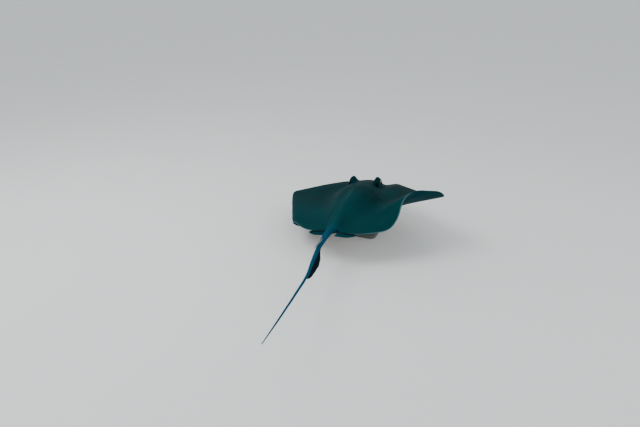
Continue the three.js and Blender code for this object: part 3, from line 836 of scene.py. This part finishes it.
def skin_material(tones):
    """Dark teal back, painted lighter on the rear as painted light and with a painted highlight
    along its midline; cream belly with a dusky edge, and painted shade on the wings' outer
    undersides and under the rear; bluish tail with a painted sheen; near-black painted shade in the
    openings and on the fold under the tail; and a thin pale rear margin.
    """
    look = Look("ray skin", {
        "Coat Weight": 0.02, "Coat Roughness": 0.28, "Coat IOR": 1.36,
        "Specular IOR Level": 0.02, "Specular Tint": (0.14, 0.82, 0.88, 1.0),
    })
    span = look.span
    mottle = look.shared("skin mottle", Strength=1.6)
    across = look.maths("ABSOLUTE", look.fact("plan_x"))
    station, margin = look.fact("plan_s"), look.fact("margin")
    worn = look.noise(22.0, 5.0, 0.6)
    # The rear of the back is painted lighter: painted light where the rear is lit.
    rear = span("rear", station)
    # A paler stripe along the midline behind the neck: a painted highlight on the ridge.
    ridge = span("ridge", look.shifted(across, worn, 0.03))
    ridge = look.times(ridge, span("behind neck", station))
    sand = look.times(span("sand", look.noise(420.0, 2.0, 0.4)), rear)
    # Bluish upper side of the tail, its tone carrying a painted sheen.
    tail = look.times(span("tail", station), span("tail width", across))
    pale_edge = look.times(span("pale edge", margin), span("pale from", station))
    back = look.layered(
        tones.back_dark, (span("blotch", mottle), tones.back_pale_and_lit_rear), (rear, tones.back_pale_and_lit_rear),
        (ridge, tones.ridge), (sand, tones.margin), (tail, tones.tail), (pale_edge, tones.margin),
    )
    ragged = look.shifted(margin, look.noise(38.0, 5.0, 0.65), 0.16)
    # A real dusky margin, plus painted shade over the wings' outer undersides and under the rear.
    painted_wing_shade = span("painted wing shade", look.shifted(across, worn, 0.1))
    dusky_border_and_shade = look.maths("MAXIMUM", span("dusky edge", ragged), painted_wing_shade)
    dusky_border_and_shade = look.maths("MAXIMUM", dusky_border_and_shade, span("painted rear shade", station))
    belly = look.layered(
        tones.belly, (span("flush", mottle), tones.belly_shade), (dusky_border_and_shade, tones.dusky_margin_and_painted_shade)
    )
    under = look.shifted(look.fact("under"), look.noise(60.0), 0.3)
    # The dark fact lays near-black painted shade into the openings and over the fold under the
    # tail.
    whole = look.layered(
        back, (span("under", under), belly), (span("dark", look.fact("dark")), tones.sclera_and_painted_shade)
    )
    rays = look.times(span("rays", margin), span("ray ends", margin))
    grain = look.shared("skin grain", Ray_place=look.fact("row"), Ray_strength=rays)
    return look.finished(whole, span("roughness", mottle), grain, 0.35, 0.0006)


def eye_material(tones):
    """Glossy eyeball: brassy iris with a dark crescent pupil under a scalloped lid of iris."""
    look = Look("ray eye", {
        "Roughness": 0.25, "Coat Weight": 1.0, "Coat Roughness": 0.03, "Coat IOR": 1.38,
    })
    back, up, out = (look.fact(name) for name in ("gaze_back", "gaze_up", "gaze_out"))
    scallop = look.times(look.maths("SINE", look.times(back, 46.0)), 0.025)
    lid = look.maths("ADD", look.shifted(up, look.squared(back), 1.1), scallop)
    sideways = look.squared(look.maths("DIVIDE", back, 0.42))
    upward = look.squared(look.maths("DIVIDE", look.maths("ADD", up, 0.04), 0.3))
    inside = look.ramp(look.maths("ADD", sideways, upward), 1.08, 0.92)
    pupil = look.times(inside, look.ramp(lid, 0.1, 0.04))
    reach = look.maths("SQRT", look.maths("ADD", look.squared(back), look.squared(up)))
    flecks = look.ramp(look.noise(900.0, 4.0, 0.7), 0.35, 0.65)
    ball = look.layered(
        tones.iris, (flecks, tones.iris_dark), (look.ramp(reach, 0.62, 0.78), tones.sclera_and_painted_shade),
        (look.ramp(out, 0.1, -0.1), tones.sclera_and_painted_shade), (pupil, tones.pupil),
    )
    return look.finished(ball)


def hard_material(name, tones, blotch_scale, roughness):
    """Dentine of thorns and sting, stained in blotches."""
    look = Look(name, {"Coat Roughness": 0.2})
    mottle = look.shared("skin mottle", Blotch_scale=blotch_scale, Strength=2.0)
    colour = look.mix(look.ramp(mottle, 0.2, 0.8), tones.dentine, tones.dentine_dark)
    rough = look.ramp(mottle, 0.2, 0.8, roughness, roughness + 0.15)
    return look.finished(colour, rough, mottle, 0.3, 0.0003)


def lightened(colour, times):
    return (*(min(1.0, part * times) for part in colour[:3]), 1.0)


def stand_material(tones):
    """Satin paint with a fine orange-peel surface."""
    look = Look("stand paint", {"Coat Roughness": 0.3})
    mottle = look.shared("skin mottle", Blotch_scale=8.0, Strength=1.0)
    colour = look.mix(look.ramp(mottle, 0.3, 0.7), tones.stand, lightened(tones.stand, 1.25))
    rough = look.ramp(mottle, 0.3, 0.7, 0.38, 0.5)
    return look.finished(colour, rough, look.noise(900.0, 2.0), 0.12, 0.0002)


def floor_material(tones):
    """Matt, nearly even studio floor."""
    look = Look("studio floor", {"Roughness": 0.9})
    grain = look.noise(3.0, 3.0)
    return look.finished(look.mix(grain, tones.floor, lightened(tones.floor, 1.04)))


# ---- what a user would change --------------------------------------------------------------------
def tone(name, description, default):
    return bpy.props.FloatVectorProperty(
        name=name, description=description, default=(*default, 1.0), size=4, min=0, max=1,
        subtype="COLOR",
    )


class RayTones(bpy.types.PropertyGroup):
    """Colours of the animal and its stand."""

    back_dark: tone("Back, dark", "Darker tone of the back", (0.0006, 0.010, 0.0118))
    # Pale tone of the blotches, also laid over the rear of the back as painted light.
    back_pale_and_lit_rear: tone("Back, light", "Lighter tone of the back", (0.0015, 0.042, 0.048))
    # Paler midline of the back: a painted highlight along the ridge.
    ridge: tone("Ridge", "Midline of the back", (0.005, 0.048, 0.056))
    margin: tone("Margin", "Thin edge of the rear of the disc", (0.05, 0.14, 0.155))
    # Bluish tone of the tail, with a painted sheen in it.
    tail: tone("Tail", "Upper side of the tail", (0.004, 0.052, 0.1))
    belly: tone("Belly", "Underside of the disc", (0.66, 0.63, 0.57))
    belly_shade: tone("Belly, shaded", "Flushed parts of the underside", (0.52, 0.44, 0.4))
    # Dusky margin of the underside, in the teal of shade, also laid as painted shade on the wings'
    # outer undersides and under the rear.
    dusky_margin_and_painted_shade: tone("Dusk", "Dark border of the underside", (0.0015, 0.034, 0.042))
    # Near-black: painted shade in the openings and on the fold under the tail, and the dark outside
    # of the eyeball.
    sclera_and_painted_shade: tone("Deep", "Openings, and the fold under the tail", (0.002, 0.004, 0.005))
    iris: tone("Iris", "Lighter tone of the iris", (0.22, 0.15, 0.05))
    iris_dark: tone("Iris, dark", "Darker tone of the iris", (0.05, 0.035, 0.015))
    pupil: tone("Pupil", "Pupil of the eye", (0.002, 0.002, 0.003))
    dentine: tone("Dentine", "Thorns and sting", (0.14, 0.17, 0.16))
    dentine_dark: tone("Dentine, stained", "Stains of thorns and sting", (0.02, 0.045, 0.05))
    stand: tone("Stand", "Paint of the display stand", (0.075, 0.08, 0.082))
    floor: tone("Floor", "Studio floor", (0.78, 0.79, 0.79))


class RayForm(bpy.types.PropertyGroup):
    """Counts and small sizes of the pieces."""

    thorn_count: bpy.props.IntProperty(
        name="Thorns", description="Thorns along the midline of the back", default=34, min=0,
        max=200,
    )
    thorn_height: bpy.props.FloatProperty(
        name="Thorn height", description="Height of the largest thorn", default=0.0024,
        min=0.0005, max=0.01, unit="LENGTH",
    )
    barb_count: bpy.props.IntProperty(
        name="Barbs", description="Barbs along each edge of the sting", default=34, min=0, max=120
    )
    edge_round: bpy.props.FloatProperty(
        name="Stand edge", description="Rounding of the stand's edges", default=0.0018,
        min=0.0001, max=0.005, unit="LENGTH",
    )
    key_power: bpy.props.FloatProperty(
        name="Key light", description="Strength of the main light", default=55.0, min=0,
        unit="POWER",
    )
    fill_power: bpy.props.FloatProperty(
        name="Fill light", description="Strength of the fill light", default=18.0, min=0,
        unit="POWER",
    )


class RayOperator:
    """What the operators have in common."""

    bl_options = {"REGISTER", "UNDO"}

    def done(self, made, slot, *nodes):
        """Puts a finished piece on the frame in place of these nodes."""
        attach(made, "root")
        if nodes:
            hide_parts(*nodes)
        return {"FINISHED"}


def united(base, others):
    """Joins other closed objects to base, as one closed surface, and removes them."""
    for other in others:
        join = base.modifiers.new("join", "BOOLEAN")
        join.operation = "UNION"
        join.solver = "MANIFOLD"
        join.object = other
    evaluated = base.evaluated_get(bpy.context.evaluated_depsgraph_get())
    mesh = bpy.data.meshes.new_from_object(evaluated)
    base.modifiers.clear()
    base.data = mesh
    for other in others:
        bpy.data.objects.remove(other)
    return base


def is_closed(mesh):
    bm = bmesh.new()
    bm.from_mesh(mesh)
    closed = all(edge.is_manifold for edge in bm.edges)
    bm.free()
    return closed


class RAY_OT_skin(RayOperator, bpy.types.Operator):
    """One skin over head, trunk, fins and tail"""

    bl_idname = "ray.skin"
    bl_label = "Skin"

    FLESH = (
        "head", "trunk", "pectoral_fin_left", "pectoral_fin_right", "pelvic_fin_left",
        "pelvic_fin_right", "tail_base", "tail_middle", "tail_whip", "tail_fold",
    )

    def execute(self, context):
        material = skin_material(context.scene.ray_tones)
        forms = {
            "skin": disc_mesh(),
            "tail": tube_mesh(TAIL_GRID, tail_ring),
            "fold": tube_mesh(FOLD_GRID, fold_ring),
            "pelvic_left": pelvic_mesh(1),
            "pelvic_right": pelvic_mesh(-1),
        }
        sources, made = [], []
        for name, (bm, facts) in forms.items():
            sources.append({"points": corners(bm), "facts": facts})
            bmesh.ops.remove_doubles(bm, verts=bm.verts, dist=MERGE_WITHIN)
            bmesh.ops.dissolve_degenerate(bm, edges=bm.edges, dist=MERGE_WITHIN / 10)
            made.append(named_object(name, bm, material))
        skin = united(made[0], made[1:])
        part = spread_facts(skin.data, sources)
        if not is_closed(skin.data) or set(part) != set(range(len(sources))):
            raise RuntimeError("the skin's forms didn't all join into one closed surface")
        seams_smoothed(skin.data, part)
        skin.data.shade_smooth()
        return self.done(skin, "back_skin", *self.FLESH)


class RAY_OT_eyes(RayOperator, bpy.types.Operator):
    """Both eyeballs, set in their orbits"""

    bl_idname = "ray.eyes"
    bl_label = "Eyes"

    def execute(self, context):
        material = eye_material(context.scene.ray_tones)
        for word, side in (("left", 1), ("right", -1)):
            middle, axes = eye_axes(side)
            bm = bmesh.new()
            bmesh.ops.create_uvsphere(bm, u_segments=48, v_segments=32, radius=1)
            gaze = unit(corners(bm))
            cornea = 1 + 0.05 * smooth(gaze[:, 0], 0.72, 0.95)
            moved_to(bm, posed(middle + (gaze * cornea[:, None] * EYE["half"]) @ axes))
            eye = named_object(f"eyeball_{word}", bm, material)
            for name, values in zip(("gaze_out", "gaze_back", "gaze_up"), gaze.T):
                add_fact(eye.data, name, values)
            self.done(eye, "cornea", f"eye_{word}")
        return {"FINISHED"}


def back_place(x, s):
    """Posed point and outward way of the skin at signed plan x and s on the back or the tail."""
    if s > AXIS_END:
        centre, _, up, half = tail_at([(s - MIDDLE) * DISC_WIDTH])
        return centre[0] + up[0] * half[0, 1], up[0]
    t = clamped((s - AXIS_START) / (AXIS_END - AXIS_START))
    q = abs(x) / plan_point(t, 1)[0]
    side = 1.0 if x >= 0 else -1.0
    step = 0.004
    rows, columns = np.array([t, t, t + step]), np.array([q, q + step, q])
    near = skin_point(rows, columns, np.full(3, side), True)
    return posed(near[0]), np.array(POSE)[:3, :3] @ facing(*near, side)


class RAY_OT_thorns(RayOperator, bpy.types.Operator):
    """Small thorns along the midline of the back and on the shoulders"""

    bl_idname = "ray.thorns"
    bl_label = "Thorns"

    def places(self, form):
        """Signed plan x, s and size of each thorn."""
        for k in range(form.thorn_count):
            share = k / max(form.thorn_count - 1, 1)
            wander = 0.0012 * math.sin(k * 12.9)
            size = 0.55 + 0.45 * math.exp(-(((share - 0.35) / 0.3) ** 2)) + 0.12 * math.sin(k * 7.3)
            yield wander, blend(*THORN["s"], share) + 0.002 * math.sin(k * 4.1), size
        for side in (1, -1):
            for k in range(5):
                yield side * (0.034 + 0.002 * k), 0.345 + 0.016 * k, 0.6 - 0.05 * abs(k - 2)

    def execute(self, context):
        form, tones = context.scene.ray_form, context.scene.ray_tones
        bm = bmesh.new()
        patches = []
        lean = Matrix(((1, 0, 0, 0), (0, 1, THORN["lean"], 0), (0, 0, 1, 0), (0, 0, 0, 1)))
        for x, s, size in self.places(form):
            point, out = back_place(x, s)
            height = form.thorn_height * size
            turn = Vector(out).to_track_quat("Z", "Y").to_matrix().to_4x4()
            lift = Matrix.Translation(Vector(point) + Vector(out) * height * THORN["stands"])
            made = bmesh.ops.create_cone(
                bm, cap_ends=True, segments=THORN["sides"], radius1=height * THORN["base"],
                radius2=height * THORN["tip"], depth=height, matrix=Matrix.Identity(4),
            )["verts"]
            for vert in made:
                local = vert.co.copy()
                patches.append((x, s, local.x / height, local.y / height))
                vert.co = lift @ turn @ lean @ local
        material = hard_material("thorn", tones, 90.0, 0.4)
        thorns = named_object("back_thorns", bm, material)
        layer = thorns.data.uv_layers.new(name="OFBake")
        for loop in thorns.data.loops:
            x, s, u, v = patches[loop.vertex_index]
            layer.data[loop.index].uv = (0.5 + x + THORN["patch"] * u, s + THORN["patch"] * v)
        return self.done(thorns, "dentine")


class RAY_OT_sting(RayOperator, bpy.types.Operator):
    """The saw-edged sting on top of the tail"""

    bl_idname = "ray.sting"
    bl_label = "Sting"

    def execute(self, context):
        form, tones = context.scene.ray_form, context.scene.ray_tones

        def ring(k, turn):
            centre, lateral, up, half = tail_at(blend(STING["from"], STING["to"], k))
            taper = np.minimum(1, 0.45 + 3 * k) * np.sqrt(np.maximum(1 - k**1.7, 0.004))
            barb = (1 - (k * form.barb_count) % 1) * smooth(k, 0.2, 0.3) * np.abs(np.cos(turn)) ** 6
            width = STING["half_width"] * taper * (0.86 + 0.26 * barb)
            groove = 1 - 0.3 * np.exp(-((np.cos(turn) / 0.25) ** 2)) * (np.sin(turn) > 0)
            height = half[:, 1] + blend(-STING["half_height"], STING["rise"], k)
            ends = closing_ends(k, 0.01)
            sideways = STING["swing"] * k + np.cos(turn) * width * ends
            lifted = np.sin(turn) * STING["half_height"] * taper * groove * ends
            return off_centre(centre, lateral, up, sideways, height + lifted), {}

        bm, _ = tube_mesh((24, 12 * form.barb_count), ring)
        bmesh.ops.remove_doubles(bm, verts=bm.verts, dist=MERGE_WITHIN / 10)
        material = hard_material("sting", tones, 60.0, 0.35)
        return self.done(named_object("tail_sting", bm, material), "dentine", "sting")


def rounded(bm, edges, radius, segments=3):
    bmesh.ops.bevel(
        bm, geom=edges, offset=radius, segments=segments, affect="EDGES", profile=0.5, material=-1
    )


class RAY_OT_stand(RayOperator, bpy.types.Operator):
    """The flat base and its two rods"""

    bl_idname = "ray.stand"
    bl_label = "Stand"

    CORNER = 0.03
    COLLAR = {"width": 1.9, "height": 0.005}
    SUNK = 0.002  # the rod's foot in the base
    RAISED = 0.004  # the rod's top in the belly

    def execute(self, context):
        form = context.scene.ray_form
        material = stand_material(context.scene.ray_tones)
        low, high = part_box("stand_base")
        middle, size = (low + high) / 2, high - low
        bm = bmesh.new()
        matrix = Matrix.Translation(middle) @ Matrix.Diagonal((*size, 1))
        bmesh.ops.create_cube(bm, size=1, matrix=matrix)
        upright = [e for e in bm.edges if abs(e.verts[0].co.z - e.verts[1].co.z) > size.z / 2]
        rounded(bm, upright, self.CORNER, 12)
        flat = [f for f in bm.faces if abs(f.normal.z) > 0.9]
        rounded(bm, list({e for f in flat for e in f.edges}), form.edge_round)
        self.done(named_object("stand_plate", bm, material), "stand_paint", "stand_base")
        for word in ("front", "rear"):
            rod = self.rod(f"stand_rod_{word}", high.z, form.edge_round, material)
            self.done(rod, "stand_paint", f"stand_rod_{word}")
        return {"FINISHED"}

    def rod(self, node, floor, edge, material):
        """A round rod with a low collar where it enters the base."""
        low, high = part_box(node)
        middle, radius = (low + high) / 2, (high.x - low.x) / 2
        bm = bmesh.new()
        collar = (radius * self.COLLAR["width"], floor, floor + self.COLLAR["height"])
        for r, bottom, top in ((radius, floor - self.SUNK, high.z + self.RAISED), collar):
            at = Matrix.Translation((middle.x, middle.y, (bottom + top) / 2))
            made = bmesh.ops.create_cone(
                bm, cap_ends=True, segments=48, radius1=r, radius2=r, depth=top - bottom, matrix=at
            )["verts"]
            level = {
                e for v in made for e in v.link_edges
                if abs(e.verts[0].co.z - e.verts[1].co.z) < 1e-6
            }
            rounded(bm, list(level), edge * 0.6)
        return named_object(f"{node}_painted", bm, material)


# ---- the stage -----------------------------------------------------------------------------------
CAMERA = {
    "image": (640, 427), "focal": 500.0,  # pixels
    "yaw": math.radians(22.5), "pitch": math.radians(25),
    "target": (0, BODY_SHIFT, BODY_LIFT), "pixel": (354.2, 206.4), "depth": 2.33,
}
SENSOR = 36.0  # millimetres
FLOOR_RADIUS = 60
LIGHTS = {"key": ((1.6, 1.3, 2.6), 1.8), "fill": ((-2.6, 0.6, 1.7), 2.4)}  # place and size
LIGHT_AIM = (0, 0.15, 0.1)
GLOW = {"Color": (0.86, 0.9, 0.92, 1), "Strength": 0.95}


class RAY_OT_stage(RayOperator, bpy.types.Operator):
    """Pale floor, soft light and the camera"""

    bl_idname = "ray.stage"
    bl_label = "Stage"

    def area_light(self, name, place, size, power):
        data = bpy.data.lights.new(name, "AREA")
        data.shape = "DISK"
        data.size = size
        data.energy = power
        made = in_scene(name, data)
        made.location = place
        made.rotation_mode = "QUATERNION"
        made.rotation_quaternion = (Vector(LIGHT_AIM) - Vector(place)).to_track_quat("-Z", "Y")

    def camera(self):
        yaw, pitch = CAMERA["yaw"], CAMERA["pitch"]
        level = math.cos(pitch)
        forward = Vector((math.sin(yaw) * level, -math.cos(yaw) * level, -math.sin(pitch)))
        right = forward.cross(Vector((0, 0, 1))).normalized()
        up = right.cross(forward)
        width, height = CAMERA["image"]
        across = (CAMERA["pixel"][0] - width / 2) / CAMERA["focal"]
        above = (height / 2 - CAMERA["pixel"][1]) / CAMERA["focal"]
        data = bpy.data.cameras.new("camera")
        data.sensor_width = SENSOR
        data.lens = CAMERA["focal"] / width * SENSOR
        made = in_scene("camera", data)
        ray = forward + right * across + up * above
        made.location = Vector(CAMERA["target"]) - ray * CAMERA["depth"]
        made.rotation_mode = "QUATERNION"
        made.rotation_quaternion = Matrix((right, up, -forward)).transposed().to_quaternion()
        bpy.context.scene.camera = made

    def execute(self, context):
        form = context.scene.ray_form
        bm = bmesh.new()
        bmesh.ops.create_circle(bm, cap_ends=True, segments=96, radius=FLOOR_RADIUS)
        material = floor_material(context.scene.ray_tones)
        named_object("studio_floor", bm, material)
        for name, power in (("key", form.key_power), ("fill", form.fill_power)):
            self.area_light(f"{name} light", *LIGHTS[name], power)
        world = bpy.data.worlds.new("studio")
        world.use_nodes = True
        for title, value in GLOW.items():
            world.node_tree.nodes["Background"].inputs[title].default_value = value
        context.scene.world = world
        self.camera()
        return {"FINISHED"}


class RAY_PT_panel(bpy.types.Panel):
    """Builds the model piece by piece"""

    bl_idname = "RAY_PT_panel"
    bl_label = "Stingray"
    bl_space_type = "VIEW_3D"
    bl_region_type = "UI"
    bl_category = "Stingray"

    def draw(self, context):
        column = self.layout.column(align=True)
        for operator in OPERATORS:
            column.operator(operator.bl_idname)
        for group in (context.scene.ray_form, context.scene.ray_tones):
            column = self.layout.column(align=True)
            for name in group.__annotations__:
                column.prop(group, name)


OPERATORS = (RAY_OT_stage, RAY_OT_skin, RAY_OT_eyes, RAY_OT_thorns, RAY_OT_sting, RAY_OT_stand)
CLASSES = (RayTones, RayForm, *OPERATORS, RAY_PT_panel)


def register():
    for cls in CLASSES:
        bpy.utils.register_class(cls)
    bpy.types.Scene.ray_tones = bpy.props.PointerProperty(type=RayTones)
    bpy.types.Scene.ray_form = bpy.props.PointerProperty(type=RayForm)


def unregister():
    del bpy.types.Scene.ray_form
    del bpy.types.Scene.ray_tones
    for cls in reversed(CLASSES):
        bpy.utils.unregister_class(cls)


def main():
    register()
    bpy.ops.ray.stage()
    bpy.ops.ray.skin()
    bpy.ops.ray.eyes()
    bpy.ops.ray.thorns()
    bpy.ops.ray.sting()
    bpy.ops.ray.stand()


if __name__ == "__main__":
    main()
